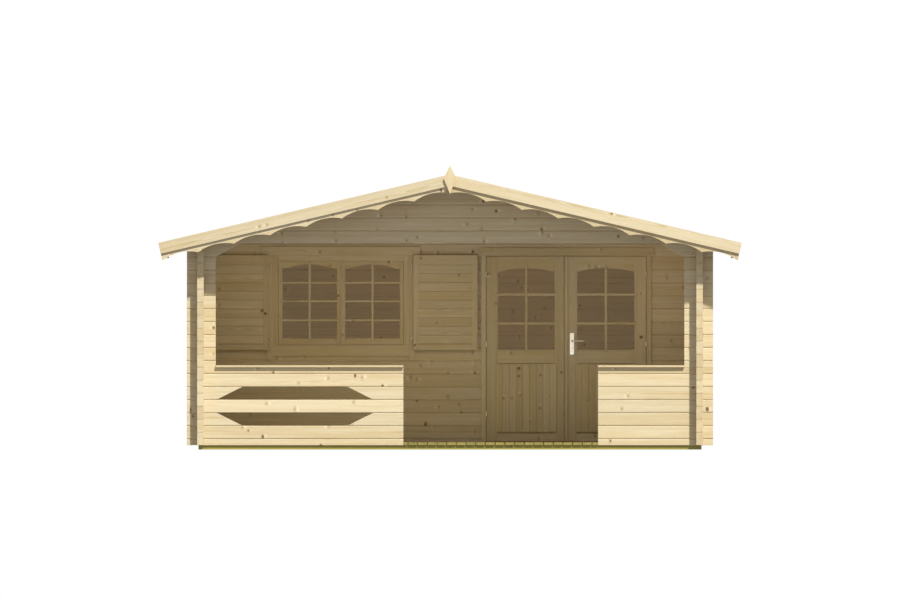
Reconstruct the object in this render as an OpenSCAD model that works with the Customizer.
// Garden log cabin: interlocked bevelled logs, a recessed veranda behind a
// pierced parapet, a glazed double door, a shuttered window, and a shallow
// roof with scalloped barge boards and a diamond finial.
// The front faces -Y and +Z is up. The origin is on the ground, at the
// middle of the plan.

/* [Plan] */
// Width between the outer faces of the side walls
plan_w = 5250; // [4900:10:6000]
// Depth between the outer faces of the front and rear walls
plan_d = 5250; // [4200:10:6500]
// Depth of the veranda, from the front wall face to the cabin front face
veranda_d = 1650; // [1300:10:2200]

/* [Logs] */
// Height of one log
log_h = 135; // [130:1:140]
// Thickness of the log walls
log_t = 70; // [44:1:92]
// Number of logs from the base to the eaves
log_rows = 16; // [16:1:18]
// Width and depth of the bevel at each log joint
log_bevel = 7; // [3:1:10]
// How far a log runs past the wall that it crosses
log_end = 105; // [60:5:160]

/* [Base and floors] */
// Height of the treated base beams
base_h = 45; // [35:1:60]
// Width of the treated base beams
base_w = 70; // [60:1:90]
// How far the beams sit back from the outer wall faces
base_inset = 15; // [0:1:30]
// Width of a floor joist
joist_w = 45; // [35:1:70]
// Largest distance between joist centres
joist_pitch = 520; // [400:10:600]
// Thickness of the veranda deck
deck_t = 28; // [20:1:35]
// How far the deck boards stand out past the front wall in the entry
deck_nose = 10; // [0:1:30]
// Thickness of the cabin floor
floor_t = 19; // [16:1:28]
// Gap between the floors and what stands round them
floor_gap = 4; // [1:1:10]

/* [Veranda front] */
// Width of the log posts beside the front opening, inside the side walls
post_w = 124; // [80:1:200]
// Logs in the parapet's height
parapet_rows = 6; // [5:1:7]
// Left edge of the entry
entry_x = -484; // [-700:1:-300]
// Width of the entry
entry_w = 2020; // [1000:10:2300]
// Thickness of the parapet caps
cap_t = 20; // [16:1:40]
// How far the caps stand out past the parapet's faces
cap_over = 23; // [5:1:40]
// How far the corner braces reach in at the top
brace_run = 250; // [100:5:400]
// Length of each cut-out between logs along its short edge
cutout_w = 1085; // [600:5:1200]
// Slant of the cut-outs' ends, one log high
cutout_slant = 271; // [100:1:280]
// Middle of the cut-outs
cutout_x = -1609; // [-1700:1:-1500]

/* [Roof] */
// Slope of the roof
roof_angle = 13.2; // [10:0.1:18]
// Thickness of the roof boards
roof_t = 20; // [16:1:28]
// Gap between the roof boards and the logs and purlins under them
roof_bed = 0.2; // [0.1:0.1:1]
// How far the eaves stand out past the side walls
eaves_over = 403; // [250:1:450]
// How far the barge boards stand out past the front and rear walls
gable_over = 308; // [200:1:400]
// Width of a purlin
purlin_w = 60; // [45:1:80]
// Height of a purlin
purlin_h = 135; // [100:1:140]
// Height of the eaves boards
eaves_board_h = 146; // [100:1:148]
// Thickness of the eaves boards
eaves_board_t = 20; // [16:1:28]
// How far the roof boards run on past the eaves boards
eaves_board_in = 56; // [20:1:90]

/* [Barge boards] */
// Height of the plain outer barge boards
barge_h = 115; // [90:1:130]
// Thickness of the plain outer barge boards
barge_t = 16; // [14:1:22]
// How far the barge boards stand up past the roof boards
barge_lip = 13.5; // [5:0.5:30]
// Number of scallops on each slope
scallop_count = 8; // [6:1:10]
// Depth of the scallop points below the top of the barge boards
scallop_drop = 188; // [180:1:200]
// Height of each scallop's arc
scallop_rise = 39.5; // [20:0.5:45]
// Flat tip between two scallops
scallop_tip = 4; // [2:0.5:10]
// Thickness of the scalloped boards
scallop_t = 18; // [14:1:22]

/* [Finials] */
// Width of the diamond finials
finial_w = 130; // [90:1:180]
// Height of a finial above its widest level
finial_up = 135; // [90:1:160]
// Depth of a finial below its widest level
finial_down = 163; // [120:1:200]
// How far the finial's top stands above the barge boards
finial_lift = 93; // [60:1:120]
// Thickness of the finials
finial_t = 20; // [14:1:28]

/* [Door] */
// Gap between the open right shutter and the door frame
door_space = 37; // [10:1:80]
// Clear width between the door jambs
door_w = 1666; // [1500:1:1700]
// Bottom of the door leaves above the deck
leaf_lift = 11; // [9:1:16]
// Gap between the door leaves and the threshold
threshold_gap = 6; // [4:0.5:8]
// Height of the door leaves
leaf_h = 1921; // [1850:1:1930]
// Thickness of the door leaves
leaf_t = 40; // [36:1:45]
// Gap all round the door leaves
leaf_gap = 5; // [4:0.5:6]
// Distance of the meeting gap from the middle of the doorway, to the left
leaf_offset = 21; // [0:1:40]
// Width of the door's stiles on the hinge side
hinge_stile = 118; // [100:1:130]
// Width of the door's stiles on the meeting side
meeting_stile = 97; // [90:1:120]
// Width of the cover strip on the right leaf
cover_w = 35; // [25:1:45]
// How far the cover strip stands out of the leaf
cover_t = 12; // [8:1:20]
// Height of the glass opening's sill above the leaf's bottom
light_sill = 949; // [900:1:1000]
// Height of the leaf's top rail over the crown of the glass opening
top_rail = 119; // [90:1:140]
// Rise of the glass opening's arch
light_rise = 41; // [20:1:60]
// Flat shoulder at each end of the glass opening's arch
light_shoulder = 4; // [3:1:60]
// Height of the leaf's bottom rail
kick_h = 99; // [80:1:140]
// Height of the rail between the lower panel and the glass opening
lock_rail = 147; // [100:1:180]
// Depth of the panel's recess in each face
panel_recess = 10; // [5:1:14]
// Thickness of the door frame inside the wall opening
jamb_t = 34; // [28:1:45]
// Width of the door frame's cover on each wall face
flange_w = 16; // [10:1:30]
// Thickness of the door frame's cover on each wall face
flange_t = 16; // [12:1:20]
// Width of the stop that the leaves close on
stop_w = 14; // [10:1:20]
// Height of the casing board over the door
door_casing_h = 83; // [70:1:110]
// How far the casing board over the door runs past the door frame
door_casing_over = 29; // [0:1:32]

/* [Window] */
// Width of the window frame
window_w = 1414; // [1300:1:1430]
// Bottom of the window frame above the ground
window_z = 1035; // [1000:1:1080]
// Height of the window frame
window_h = 978; // [900:1:1000]
// Distance of the window frame's face behind the casing's
frame_back = 4; // [0:1:8]
// Face width of the window frame
window_frame = 55; // [45:1:70]
// Face width of the sashes' stiles
sash_stile = 41; // [35:1:55]
// Face width of the sashes' bottom rail
sash_rail = 63; // [50:1:80]
// Thickness of the sashes
sash_t = 40; // [36:1:50]
// Gap between the sashes and round them
sash_gap = 2; // [1:0.5:4]
// Distance of the sashes behind the wall face
sash_recess = 0; // [0:1:15]
// Height of the sashes' glass opening, to the crown of its arch
sash_light_h = 771; // [700:1:780]
// Rise of the sashes' arch
sash_rise = 42; // [20:1:50]
// Flat shoulder at each end of the sashes' arch
sash_shoulder = 46; // [3:1:60]
// Width of the window's side casings
casing_w = 66; // [50:1:80]
// Thickness of the casings
casing_t = 16; // [12:1:20]
// Height of the casing board over the window
casing_head_h = 93; // [70:1:110]
// How far the head casing runs past the side casings
casing_head_over = 47; // [0:1:70]
// Height of the board under the window
apron_h = 114; // [80:1:130]
// How far the board under the window overlaps the window frame
apron_lap = 47; // [20:1:50]
// How far the side casings run on past the board under the window
casing_tail = 38; // [0:1:60]

/* [Glass] */
// Thickness of the panes
pane_t = 4; // [3:1:6]
// How far a pane runs into the sash or leaf behind its opening
pane_lap = 12; // [6:1:20]

/* [Shutters] */
// Gap between the open left shutter and the side wall
shutter_space = 9; // [6:1:60]
// Width of a shutter
shutter_w = 667; // [600:1:680]
// Height of a shutter
shutter_h = 986; // [900:1:1000]
// How far the shutters reach above the window frame
shutter_up = 7; // [0:1:20]
// Thickness of a shutter
shutter_t = 28; // [20:1:32]
// Face width of a shutter's frame
shutter_frame = 57; // [45:1:70]
// Depth of the shutter panel's recess in each face
shutter_recess = 6; // [3:1:9]
// Distance of a shutter's pin outside the window frame's edge
shutter_pin_out = 22; // [15:1:40]
// Distance of a shutter's edge from its pin
shutter_pin_gap = 20; // [18:1:26]
// Distance of a shutter's pin in front of the wall face
shutter_pin_y = 38; // [36:1:50]

/* [Hardware] */
// Radius of the hinge barrels
barrel_r = 7; // [6:0.5:9]
// Radius of the hinge pins
pin_r = 4; // [3:0.5:5]
// Radial clearance of a pin or spindle in its bore
pin_play = 0.05; // [0.02:0.01:0.1]
// Length of half a door hinge's barrel
barrel_h = 26; // [20:1:40]
// Length of half a shutter hinge's barrel
small_barrel_h = 18; // [14:1:30]
// Gap between the two halves of a hinge
barrel_gap = 1; // [0.5:0.5:2]
// Length of a hinge leaf
hinge_leaf = 30; // [20:1:40]
// Thickness of a hinge leaf
hinge_t = 3; // [2:0.5:4]
// Distance of the door hinges' axis in front of the leaves
hinge_out = 8; // [7.5:0.5:10]
// Distance of the lowest door hinge from the leaf's bottom
hinge_low = 284; // [150:1:350]
// Distance of the highest door hinge from the leaf's top
hinge_high = 183; // [150:1:350]
// Distance of the shutter hinges from the shutter's ends
shutter_hinge_in = 114; // [60:1:200]
// Width of the handle plates
plate_w = 45; // [35:1:55]
// Height of the handle plates
plate_h = 228; // [180:1:260]
// Thickness of the handle plates
plate_t = 8; // [6:1:12]
// Height of the handle plates' lower end above the leaf's bottom
plate_z = 899; // [850:1:950]
// Distance of the handle's axis from the middle of the stile
spindle_off = 5; // [0:1:15]
// Clearance round the lever's neck inside the leaf
spindle_room = 2; // [1:0.5:4]
// Distance of the handle's axis below the plates' top
spindle_down = 84; // [60:1:120]
// Radius of the lever's neck
neck_r = 8; // [7:0.5:10]
// Radius of the lever's grip
grip_r = 7; // [5:0.5:8]
// Length of the lever from its axis
lever_l = 124; // [100:1:140]
// Distance of the grip's middle in front of the plate
lever_out = 42; // [35:1:55]

/* [Hidden] */

// Overshoot of a cutter past what it cuts
over = 10;
half_w = plan_w / 2;
half_d = plan_d / 2;
inner_x = half_w - log_t;
wall_len = plan_w + 2 * log_end;

// Front faces of the three cross walls
front_y = -half_d;
cabin_y = front_y + veranda_d;
rear_y = half_d - log_t;

// Levels: the cross walls' joints lie half a log above the side walls'
eaves_z = base_h + log_rows * log_h;
gable_z = eaves_z - log_h / 2;
deck_z = base_h + deck_t;
leaf_z = deck_z + leaf_lift;
parapet_z = base_h + parapet_rows * log_h;
slope = tan(roof_angle);
ridge_z = eaves_z + half_w * slope;
function under_roof(x) = ridge_z - abs(x) * slope;

// Top of the barge boards at the ridge, and their length down the slope
barge_z = ridge_z + (roof_bed + roof_t + barge_lip) / cos(roof_angle);
slope_l = (half_w + eaves_over) / cos(roof_angle);
roof_y = half_d + gable_over - barge_t - scallop_t;

// Scallops: the first point is on the mitre at the ridge
first_tip = scallop_drop * slope;
scallop_pitch = (slope_l - first_tip) / scallop_count;
scallop_chord = (scallop_pitch - scallop_tip) / 2;
scallop_r = (pow(scallop_chord, 2) + pow(scallop_rise, 2)) / (2 * scallop_rise);
function tip_x(i) = i * scallop_pitch * cos(roof_angle);
purlin_x = [tip_x(2), tip_x(4)];

// Window, its shutters and the door follow each other from the left wall
shutter_reach = shutter_pin_out + shutter_pin_gap + shutter_w;
window_left = shutter_space + shutter_reach - inner_x;
window_right = window_left + window_w;
window_x = (window_left + window_right) / 2;
window_top = window_z + window_h;
frame_side = jamb_t + flange_w;
door_left = window_right + shutter_reach + door_space + frame_side;
door_right = door_left + door_w;
door_x = (door_left + door_right) / 2;

// Door: leaf edges, frame, hinges and the handle's axis
meet_x = door_x - leaf_offset;
leaf_left_w = meet_x - leaf_gap / 2 - door_left - leaf_gap;
leaf_right_w = door_right - leaf_gap - meet_x - leaf_gap / 2;
door_top = leaf_z + leaf_h + leaf_gap;
door_hole_top = door_top + jamb_t;
leaf_y = cabin_y - flange_t;
threshold_z = leaf_z - threshold_gap;
hinge_levels = [hinge_low, (hinge_low + leaf_h - hinge_high) / 2, leaf_h - hinge_high];
light_h = leaf_h - light_sill - top_rail;
panel_h = light_sill - kick_h - lock_rail;
spindle_x = meet_x + leaf_gap / 2 + cover_w + meeting_stile / 2 - spindle_off;
spindle_z = leaf_z + plate_z + plate_h - spindle_down;

// Window: sashes and the shutters' bottom
sash_w = (window_w - 2 * window_frame - 3 * sash_gap) / 2;
sash_z = window_z + window_frame;
sash_h = window_h - 2 * window_frame - sash_gap;
shutter_z = window_top + shutter_up - shutter_h;

// ---------------------------------------------------------------- helpers

// Flat shape in X and Z, standing from y to y + t
module upright(y, t) {
    translate([0, y + t, 0]) rotate([90, 0, 0]) linear_extrude(t) children();
}

// Heights of the bevelled joints between two levels
function joints(first, z0, z1) =
    [for (z = [first : log_h : z1 - log_bevel]) if (z > z0 + log_bevel) z];

// One face of a stack of logs, from the bottom up, with its bevels
function log_face(first, z0, z1) = concat(
    [[0, z0]],
    [for (z = joints(first, z0, z1))
        each [[0, z - log_bevel], [log_bevel, z], [0, z + log_bevel]]],
    [[0, z1]]);

// Section of a stack of logs, its second face log_t away
function log_section(first, z0, z1, z2) = let (
    near = log_face(first, z0, z1),
    far = log_face(first, z0, z2))
    concat(near, [for (i = [len(far) - 1 : -1 : 0]) [log_t - far[i].x, far[i].y]]);

// Logs of a cross wall, from x0 to x1, with the front face at y
module cross_logs(y, x0, x1, z0, z1) {
    translate([x0, y, 0]) rotate([90, 0, 90]) linear_extrude(x1 - x0)
        polygon(log_section(base_h + log_h / 2, z0, z1, z1));
}

// What the logs of one side wall take out of a cross wall
module side_log_notches(y, x) {
    for (k = [0 : log_rows - 1])
        translate([x, y - over, base_h + (k + 0.25) * log_h])
            cube([log_t, log_t + 2 * over, log_h / 2]);
}

// What the logs of both side walls take out of a cross wall
module corner_notches(y) {
    side_log_notches(y, -half_w);
    side_log_notches(y, inner_x);
}

// What the logs of a cross wall take out of a side wall
module cross_log_notches(y) {
    for (k = [0 : log_rows])
        translate([-over, y, base_h + (k - 0.25) * log_h])
            cube([log_t + 2 * over, log_t, log_h / 2]);
}

// Outline of a purlin whose top is planed to the roof
module purlin_outline(x) {
    low = under_roof(x) - purlin_h;
    polygon([
        [x - purlin_w / 2, low],
        [x + purlin_w / 2, low],
        [x + purlin_w / 2, under_roof(x + purlin_w / 2)],
        if (x == 0) [0, ridge_z],
        [x - purlin_w / 2, under_roof(x - purlin_w / 2)]
    ]);
}

// Notches for all five purlins, open at the top
module purlin_notches(y) {
    xs = concat([0], purlin_x, -purlin_x);
    for (x = xs)
        translate([x - purlin_w / 2, y - over, under_roof(x) - purlin_h])
            cube([purlin_w, log_t + 2 * over, 2 * purlin_h]);
}

// Logs under the roof, above a level, notched for the purlins
module gable_logs(y, z0) {
    reach = wall_len / 2;
    side = reach + over;
    difference() {
        intersection() {
            cross_logs(y, -reach, reach, z0, ridge_z + over);
            upright(y - over, log_t + 2 * over) polygon([
                [-side, z0 - over], [side, z0 - over], [side, under_roof(side)],
                [0, ridge_z], [-side, under_roof(side)]
            ]);
        }
        corner_notches(y);
        purlin_notches(y);
    }
}

// Places a shape drawn down the right slope (x) and below the barge top (-y)
module down_slope(y, t) {
    upright(y, t) translate([0, barge_z]) rotate(-roof_angle) children();
}

// Board outline from depth d0 to depth d1, mitred upright at the ridge
module slope_board(d0, d1, s1 = slope_l) {
    polygon([[d0 * slope, -d0], [s1, -d0], [s1, -d1], [d1 * slope, -d1]]);
}

// Board outline with scallops along its lower edge
module scallop_outline() {
    difference() {
        slope_board(barge_lip, scallop_drop);
        for (i = [0 : scallop_count - 1])
            translate([
                first_tip + (i + 0.5) * scallop_pitch,
                scallop_rise - scallop_r - scallop_drop
            ])
                circle(r = scallop_r, $fn = 240);
    }
}

// A copy on the left slope, or the right one as drawn
module slope_side(left) {
    mirror([left ? 1 : 0, 0, 0]) children();
}

// The same board at the front and at the rear
module front_and_rear(depth, t) {
    down_slope(-half_d - depth, t) children();
    down_slope(half_d + depth - t, t) children();
}

// Opening with an arched top between flat shoulders, on the line y = 0
module arched_opening(w, h, rise, shoulder) {
    chord = w / 2 - shoulder;
    r = (pow(chord, 2) + pow(rise, 2)) / (2 * rise);
    lap = 0.5;
    translate([-w / 2, 0]) square([w, h - rise]);
    intersection() {
        translate([-w / 2, h - rise - lap]) square([w, rise + 2 * lap]);
        translate([0, h - r]) circle(r = r, $fn = 240);
    }
}

// ------------------------------------------------------- base and floors

module foundation_cross_beams() {
    reach = half_w - base_inset;
    side = reach - base_w;
    color("#b0a660") {
        translate([-reach, front_y + base_inset, 0])
            cube([2 * reach, base_w, base_h]);
        translate([-side, cabin_y, 0]) cube([2 * side, base_w, base_h]);
        translate([-reach, half_d - base_inset - base_w, 0])
            cube([2 * reach, base_w, base_h]);
    }
}

module foundation_side_beams() {
    reach = half_d - base_inset - base_w;
    color("#b0a660")
        for (s = [0, 1]) mirror([s, 0, 0])
            translate([half_w - base_inset - base_w, -reach, 0])
                cube([base_w, 2 * reach, base_h]);
}

// Joists spread evenly between two beams
module joist_bay(y0, y1) {
    bays = ceil((y1 - y0) / joist_pitch);
    reach = half_w - base_inset - base_w;
    for (i = [1 : bays - 1])
        translate([-reach, y0 + i * (y1 - y0) / bays - joist_w / 2, 0])
            cube([2 * reach, joist_w, base_h]);
}

module floor_joists() {
    color("#a89a5c") {
        joist_bay(front_y + base_inset + base_w, cabin_y);
        joist_bay(cabin_y + base_w, half_d - base_inset - base_w);
    }
}

module veranda_deck() {
    reach = inner_x - floor_gap;
    y1 = cabin_y - floor_gap;
    y0 = front_y + log_t + floor_gap;
    nose = front_y - deck_nose;
    color("#b7aa66") translate([0, 0, base_h]) linear_extrude(deck_t)
        polygon([
            [-reach, y0], [entry_x + floor_gap, y0], [entry_x + floor_gap, nose],
            [entry_x + entry_w - floor_gap, nose],
            [entry_x + entry_w - floor_gap, y0], [reach, y0], [reach, y1],
            [-reach, y1]
        ]);
}

module cabin_floor() {
    reach = inner_x - floor_gap;
    y0 = cabin_y + log_t + flange_t + floor_gap;
    color("#dcc592") translate([-reach, y0, base_h])
        cube([2 * reach, rear_y - floor_gap - y0, floor_t]);
}

// ------------------------------------------------------------- log walls

module side_wall() {
    difference() {
        translate([0, wall_len / 2 - half_w + half_d, 0]) rotate([90, 0, 0])
            linear_extrude(plan_d + 2 * log_end)
            polygon(log_section(
                base_h + log_h, base_h, eaves_z, eaves_z + log_t * slope));
        for (y = [front_y, cabin_y, rear_y]) cross_log_notches(y);
    }
}

module left_side_wall() {
    color("#e3cd9c") translate([-half_w, 0, 0]) side_wall();
}

module right_side_wall() {
    color("#e3cd9c") translate([half_w, 0, 0]) mirror([1, 0, 0]) side_wall();
}

// One cut-out of the parapet between two log joints
module parapet_cutout(row, flip) {
    low = base_h + (row + 0.5) * log_h;
    wide = cutout_w / 2 + cutout_slant;
    narrow = cutout_w / 2;
    upright(front_y - over, log_t + 2 * over) polygon([
        [cutout_x - (flip ? narrow : wide), low],
        [cutout_x + (flip ? narrow : wide), low],
        [cutout_x + (flip ? wide : narrow), low + log_h],
        [cutout_x - (flip ? wide : narrow), low + log_h]
    ]);
}

module parapet_left() {
    color("#e7d3a6") difference() {
        cross_logs(front_y, -wall_len / 2, entry_x, base_h, parapet_z);
        corner_notches(front_y);
        parapet_cutout(1, true);
        parapet_cutout(3, false);
    }
}

module parapet_right() {
    color("#e7d3a6") difference() {
        cross_logs(front_y, entry_x + entry_w, wall_len / 2, base_h, parapet_z);
        corner_notches(front_y);
    }
}

module parapet_caps() {
    reach = inner_x - post_w;
    depth = log_t + 2 * cap_over;
    color("#ead8ae") {
        translate([-reach, front_y - cap_over, parapet_z])
            cube([reach + entry_x, depth, cap_t]);
        translate([entry_x + entry_w, front_y - cap_over, parapet_z])
            cube([reach - entry_x - entry_w, depth, cap_t]);
    }
}

// Short logs above the parapet, with a brace cut on the top one
module front_post() {
    edge = post_w - inner_x;
    brace_z = gable_z - log_h;
    difference() {
        intersection() {
            cross_logs(front_y, -wall_len / 2, edge + brace_run, parapet_z, gable_z);
            upright(front_y - over, log_t + 2 * over) polygon([
                [-wall_len / 2 - over, parapet_z - over],
                [edge, parapet_z - over], [edge, brace_z],
                [edge + brace_run, gable_z], [-wall_len / 2 - over, gable_z]
            ]);
        }
        corner_notches(front_y);
    }
}

module front_post_left() {
    color("#e7d3a6") front_post();
}

module front_post_right() {
    color("#e7d3a6") mirror([1, 0, 0]) front_post();
}

module front_gable() {
    color("#e7d3a6") gable_logs(front_y, gable_z);
}

// The doorway through the logs, as the door frame fills it
module door_hole() {
    translate([door_left - jamb_t, cabin_y - over, base_h])
        cube([door_w + 2 * jamb_t, log_t + 2 * over, door_hole_top - base_h]);
}

// The window opening through the logs
module window_hole() {
    translate([window_left, cabin_y - over, window_z])
        cube([window_w, log_t + 2 * over, window_h]);
}

module cabin_wall_left() {
    color("#c9b078") difference() {
        cross_logs(cabin_y, -wall_len / 2, door_left - jamb_t, base_h, gable_z - log_h);
        corner_notches(cabin_y);
        window_hole();
    }
}

module cabin_wall_right() {
    color("#c9b078") difference() {
        cross_logs(cabin_y, door_right + jamb_t, wall_len / 2, base_h, gable_z - log_h);
        corner_notches(cabin_y);
    }
}

module cabin_gable() {
    color("#c9b078") difference() {
        gable_logs(cabin_y, gable_z - log_h);
        door_hole();
        window_hole();
    }
}

module rear_wall() {
    color("#e7d3a6") difference() {
        cross_logs(rear_y, -wall_len / 2, wall_len / 2, base_h, gable_z);
        corner_notches(rear_y);
    }
}

module rear_gable() {
    color("#e7d3a6") gable_logs(rear_y, gable_z);
}

// ------------------------------------------------------------------ roof

module ridge_purlin() {
    color("#dcc592") upright(-roof_y, 2 * roof_y) purlin_outline(0);
}

module side_purlins() {
    color("#dcc592")
        for (x = purlin_x, s = [-1, 1])
            upright(-roof_y, 2 * roof_y) purlin_outline(s * x);
}

// Roof boards of one slope
module roof_slope() {
    down_slope(-roof_y, 2 * roof_y) slope_board(barge_lip, barge_lip + roof_t);
}

module roof_left() {
    color("#d9c08c") slope_side(true) roof_slope();
}

module roof_right() {
    color("#d9c08c") slope_side(false) roof_slope();
}

module eaves_boards() {
    top = barge_lip + roof_t;
    color("#dcc592")
        for (left = [false, true]) slope_side(left)
            down_slope(-roof_y, 2 * roof_y)
            translate([slope_l - eaves_board_in - eaves_board_t, -top - eaves_board_h])
            square([eaves_board_t, eaves_board_h]);
}

module barge_boards_left() {
    color("#ecdab0") slope_side(true)
        front_and_rear(gable_over, barge_t) slope_board(0, barge_h);
}

module barge_boards_right() {
    color("#ecdab0") slope_side(false)
        front_and_rear(gable_over, barge_t) slope_board(0, barge_h);
}

module scallop_boards_left() {
    color("#e6d2a4") slope_side(true)
        front_and_rear(gable_over - barge_t, scallop_t) scallop_outline();
}

module scallop_boards_right() {
    color("#e6d2a4") slope_side(false)
        front_and_rear(gable_over - barge_t, scallop_t) scallop_outline();
}

module finials() {
    wide_z = barge_z + finial_lift - finial_up;
    color("#ecdab0")
        for (y = [-half_d - gable_over - finial_t, half_d + gable_over])
            upright(y, finial_t) polygon([
                [0, wide_z - finial_down], [finial_w / 2, wide_z],
                [0, wide_z + finial_up], [-finial_w / 2, wide_z]
            ]);
}

// ---------------------------------------------------------------- window

// Ring between two rectangles, each given as [x, z, width, height]
module ring(outer, inner) {
    difference() {
        translate([outer[0], outer[1]]) square([outer[2], outer[3]]);
        translate([inner[0], inner[1]]) square([inner[2], inner[3]]);
    }
}

module window_frame() {
    whole = [window_left, window_z, window_w, window_h];
    inside = [
        window_left + window_frame, window_z + window_frame,
        window_w - 2 * window_frame, window_h - 2 * window_frame
    ];
    stop = [
        inside[0] + stop_w, inside[1] + stop_w,
        inside[2] - 2 * stop_w, inside[3] - 2 * stop_w
    ];
    back = sash_recess + sash_t;
    proud = casing_t - frame_back;
    color("#d2b980") {
        upright(cabin_y - proud, proud) difference() {
            ring(whole, inside);
            translate([window_left, window_z]) square([window_w, apron_lap]);
        }
        upright(cabin_y, back) ring(whole, inside);
        upright(cabin_y + back, log_t + casing_t - back) ring(whole, stop);
    }
}

module window_casing() {
    head_w = window_w + 2 * casing_w + 2 * casing_head_over;
    apron_z = window_z + apron_lap - apron_h;
    tail_z = apron_z - casing_tail;
    color("#d2b980") upright(cabin_y - casing_t, casing_t) {
        translate([window_left - casing_w, tail_z])
            square([casing_w, window_top - tail_z]);
        translate([window_right, tail_z]) square([casing_w, window_top - tail_z]);
        translate([window_x - head_w / 2, window_top])
            square([head_w, casing_head_h]);
        translate([window_left - casing_w / 2, apron_z])
            square([window_w + casing_w, apron_h]);
    }
}

// A glazed panel's rectangle behind its arched opening
module pane_outline(w, h, lap) {
    translate([-w / 2 - lap, -lap]) square([w + 2 * lap, h + 2 * lap]);
}

module sash_light() {
    arched_opening(sash_w - 2 * sash_stile, sash_light_h, sash_rise, sash_shoulder);
}

// Runs its children for both sashes, with the origin at the glass's sill
module each_sash() {
    for (s = [-1, 1])
        translate([window_x + s * (sash_w + sash_gap) / 2, 0, sash_z + sash_rail])
            children();
}

module window_sashes() {
    front = cabin_y + sash_recess;
    color("#d2b980") each_sash() difference() {
        upright(front, sash_t) translate([-sash_w / 2, -sash_rail]) square([sash_w, sash_h]);
        upright(front - over, sash_t + 2 * over) sash_light();
        upright(front + sash_t / 2, sash_t) pane_outline(
            sash_w - 2 * sash_stile, sash_light_h, pane_lap);
    }
}

module window_glass() {
    color("#8fa0a0", 0.4) each_sash()
        upright(cabin_y + sash_recess + sash_t / 2, pane_t) pane_outline(
            sash_w - 2 * sash_stile, sash_light_h, pane_lap);
}

// -------------------------------------------------------------- shutters

pin_left = window_left - shutter_pin_out;
pin_right = window_right + shutter_pin_out;
shutter_axis_y = cabin_y - shutter_pin_y;

// A shutter standing open to the right of its pin at x = 0
module shutter() {
    front = shutter_axis_y - shutter_t / 2;
    inner_w = shutter_w - 2 * shutter_frame;
    inner_h = shutter_h - 2 * shutter_frame;
    difference() {
        translate([shutter_pin_gap, front, shutter_z])
            cube([shutter_w, shutter_t, shutter_h]);
        for (y = [front - over, front + shutter_t - shutter_recess])
            translate([shutter_pin_gap + shutter_frame, y, shutter_z + shutter_frame])
                cube([inner_w, over + shutter_recess, inner_h]);
    }
}

module shutter_left() {
    color("#cdb479") translate([pin_left, 0, 0]) mirror([1, 0, 0]) shutter();
}

module shutter_right() {
    color("#cdb479") translate([pin_right, 0, 0]) shutter();
}

// Lower half of a barrel hinge with its pin, round the Z axis
module pin_half(h) {
    cylinder(r = barrel_r, h = h, $fn = 48);
    cylinder(r = pin_r, h = 2 * h - barrel_gap, $fn = 48);
}

// Upper half of a barrel hinge, bored for the pin
module bore_half(h) {
    translate([0, 0, h + barrel_gap]) difference() {
        union() {
            cylinder(r = barrel_r, h = h, $fn = 48);
            children();
        }
        translate([0, 0, -over]) cylinder(r = pin_r + pin_play, h = h + 2 * over, $fn = 48);
    }
}

// Heights of the two hinges on a shutter
shutter_levels = [
    shutter_z + shutter_hinge_in - small_barrel_h,
    shutter_z + shutter_h - shutter_hinge_in - small_barrel_h
];

module shutter_hinge_pins() {
    web = shutter_pin_y - casing_t;
    color("#d8d8d4")
        for (x = [pin_left, pin_right], z = shutter_levels)
            translate([x, shutter_axis_y, z]) {
                pin_half(small_barrel_h);
                difference() {
                    translate([-hinge_t, 0, 0])
                        cube([2 * hinge_t, web, small_barrel_h]);
                    cylinder(r = pin_r, h = small_barrel_h, $fn = 48);
                }
                translate([-hinge_leaf / 2, web - hinge_t, 0])
                    cube([hinge_leaf, hinge_t, small_barrel_h]);
            }
}

// The moving half of a shutter's hinges, to the right of its pin
module shutter_straps() {
    for (z = shutter_levels)
        translate([0, shutter_axis_y, z]) bore_half(small_barrel_h)
            translate([0, -hinge_t, 0])
                cube([shutter_pin_gap, 2 * hinge_t, small_barrel_h]);
}

module shutter_left_hinges() {
    color("#d8d8d4") translate([pin_left, 0, 0]) mirror([1, 0, 0]) shutter_straps();
}

module shutter_right_hinges() {
    color("#d8d8d4") translate([pin_right, 0, 0]) shutter_straps();
}

// ------------------------------------------------------------------ door

module door_frame() {
    hole_w = door_w + 2 * jamb_t;
    color("#d2b980") difference() {
        union() {
            translate([door_left - jamb_t, cabin_y, base_h])
                cube([hole_w, log_t, door_hole_top - base_h]);
            translate([door_left - jamb_t - flange_w, leaf_y, deck_z])
                cube([hole_w + 2 * flange_w, flange_t, door_top - deck_z]);
            translate([door_left - jamb_t - flange_w, cabin_y + log_t, base_h])
                cube([hole_w + 2 * flange_w, flange_t, door_hole_top + flange_w - base_h]);
        }
        translate([door_left, leaf_y - over, threshold_z])
            cube([door_w, over + leaf_t + leaf_gap, door_top - threshold_z]);
        translate([door_left + stop_w, leaf_y, threshold_z])
            cube([door_w - 2 * stop_w, veranda_d, door_top - stop_w - threshold_z]);
    }
}

module door_casing() {
    reach = door_w / 2 + frame_side + door_casing_over;
    color("#d2b980") translate([door_x - reach, leaf_y, door_top])
        cube([2 * reach, flange_t, door_casing_h]);
}

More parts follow.
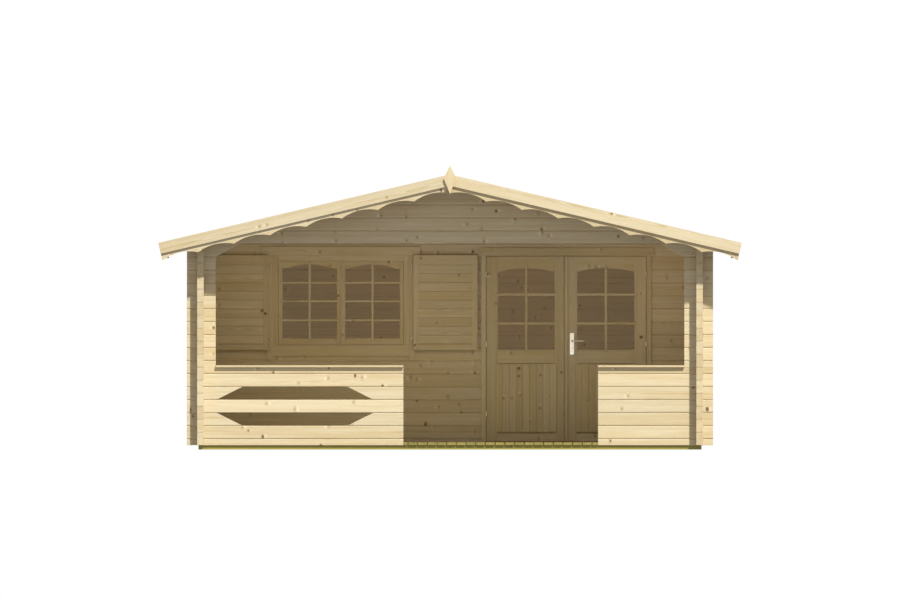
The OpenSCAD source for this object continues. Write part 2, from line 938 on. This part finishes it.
// A leaf w wide, with its hinge stile at x = 0 and its face on y = 0
module door_leaf(w) {
    light_w = w - hinge_stile - meeting_stile;
    difference() {
        cube([w, leaf_t, leaf_h]);
        translate([hinge_stile + light_w / 2, 0, light_sill]) {
            upright(-over, leaf_t + 2 * over)
                arched_opening(light_w, light_h, light_rise, light_shoulder);
            upright(leaf_t / 2, leaf_t) pane_outline(light_w, light_h, pane_lap);
        }
        for (y = [-over, leaf_t - panel_recess])
            translate([hinge_stile - pane_lap, y, kick_h])
                cube([light_w + 2 * pane_lap, over + panel_recess, panel_h]);
    }
}

// The glass of a leaf w wide
module leaf_glass(w) {
    light_w = w - hinge_stile - meeting_stile;
    translate([hinge_stile + light_w / 2, 0, light_sill])
        upright(leaf_t / 2, pane_t) pane_outline(light_w, light_h, pane_lap);
}

// Moves a leaf drawn from its hinge edge into the doorway
module at_left_leaf() {
    translate([door_left + leaf_gap, leaf_y, leaf_z]) children();
}

module at_right_leaf() {
    translate([door_right - leaf_gap, leaf_y, leaf_z]) mirror([1, 0, 0]) children();
}

module door_leaf_left() {
    color("#cfb67c") at_left_leaf() door_leaf(leaf_left_w);
}

module door_leaf_right() {
    color("#cfb67c") difference() {
        union() {
            at_right_leaf() {
                door_leaf(leaf_right_w - cover_w);
                translate([leaf_right_w - cover_w, 0, 0]) cube([cover_w, leaf_t, leaf_h]);
            }
            translate([meet_x + leaf_gap / 2, leaf_y - cover_t, leaf_z])
                cube([cover_w, cover_t, leaf_h]);
        }
        translate([spindle_x, leaf_y - over, spindle_z]) rotate([-90, 0, 0])
            cylinder(r = neck_r + spindle_room, h = leaf_t + 2 * over, $fn = 48);
    }
}

module door_glass_left() {
    color("#8fa0a0", 0.4) at_left_leaf() leaf_glass(leaf_left_w);
}

module door_glass_right() {
    color("#8fa0a0", 0.4) at_right_leaf() leaf_glass(leaf_right_w - cover_w);
}

// Places something at every door hinge of one jamb, facing right
module each_door_hinge(right) {
    for (z = hinge_levels)
        translate([
            right ? door_right - leaf_gap / 2 : door_left + leaf_gap / 2,
            leaf_y - hinge_out, leaf_z + z - barrel_h
        ])
            mirror([right ? 1 : 0, 0, 0]) children();
}

module door_hinge_pins() {
    color("#d8d8d4")
        for (right = [false, true]) each_door_hinge(right) {
            pin_half(barrel_h);
            difference() {
                translate([-hinge_leaf, hinge_out - hinge_t, 0])
                    cube([hinge_leaf, hinge_t, barrel_h]);
                cylinder(r = pin_r, h = barrel_h, $fn = 48);
            }
        }
}

module door_left_hinges() {
    color("#d8d8d4") each_door_hinge(false) bore_half(barrel_h)
        translate([0, hinge_out - hinge_t, 0]) cube([hinge_leaf, hinge_t, barrel_h]);
}

module door_right_hinges() {
    color("#d8d8d4") each_door_hinge(true) bore_half(barrel_h)
        translate([0, hinge_out - hinge_t, 0]) cube([hinge_leaf, hinge_t, barrel_h]);
}

// Runs its children on the outer face of the leaf, then mirrored inside
module both_faces() {
    translate([spindle_x, leaf_y, spindle_z]) children();
    translate([spindle_x, leaf_y + leaf_t, spindle_z]) mirror([0, 1, 0]) children();
}

module door_handle() {
    color("#f2f2f0") both_faces() difference() {
        translate([-plate_w / 2, -plate_t, spindle_down - plate_h])
            cube([plate_w, plate_t, plate_h]);
        translate([0, -plate_t - over, 0]) rotate([-90, 0, 0])
            cylinder(r = neck_r + pin_play, h = plate_t + 2 * over, $fn = 48);
    }
}

module door_lever() {
    reach = plate_t + lever_out;
    color("#c8c2b4") {
        translate([spindle_x, leaf_y - reach, spindle_z]) rotate([-90, 0, 0])
            cylinder(r = neck_r, h = leaf_t + 2 * reach, $fn = 48);
        both_faces() translate([0, -reach, 0]) rotate([0, 90, 0])
            cylinder(r = grip_r, h = lever_l, $fn = 48);
    }
}

foundation_cross_beams();
foundation_side_beams();
floor_joists();
veranda_deck();
cabin_floor();
left_side_wall();
right_side_wall();
parapet_left();
parapet_right();
parapet_caps();
front_post_left();
front_post_right();
front_gable();
cabin_wall_left();
cabin_wall_right();
cabin_gable();
rear_wall();
rear_gable();
ridge_purlin();
side_purlins();
roof_left();
roof_right();
eaves_boards();
barge_boards_left();
barge_boards_right();
scallop_boards_left();
scallop_boards_right();
finials();
window_frame();
window_casing();
window_sashes();
window_glass();
shutter_left();
shutter_right();
shutter_hinge_pins();
shutter_left_hinges();
shutter_right_hinges();
door_frame();
door_casing();
door_leaf_left();
door_leaf_right();
door_glass_left();
door_glass_right();
door_hinge_pins();
door_left_hinges();
door_right_hinges();
door_handle();
door_lever();
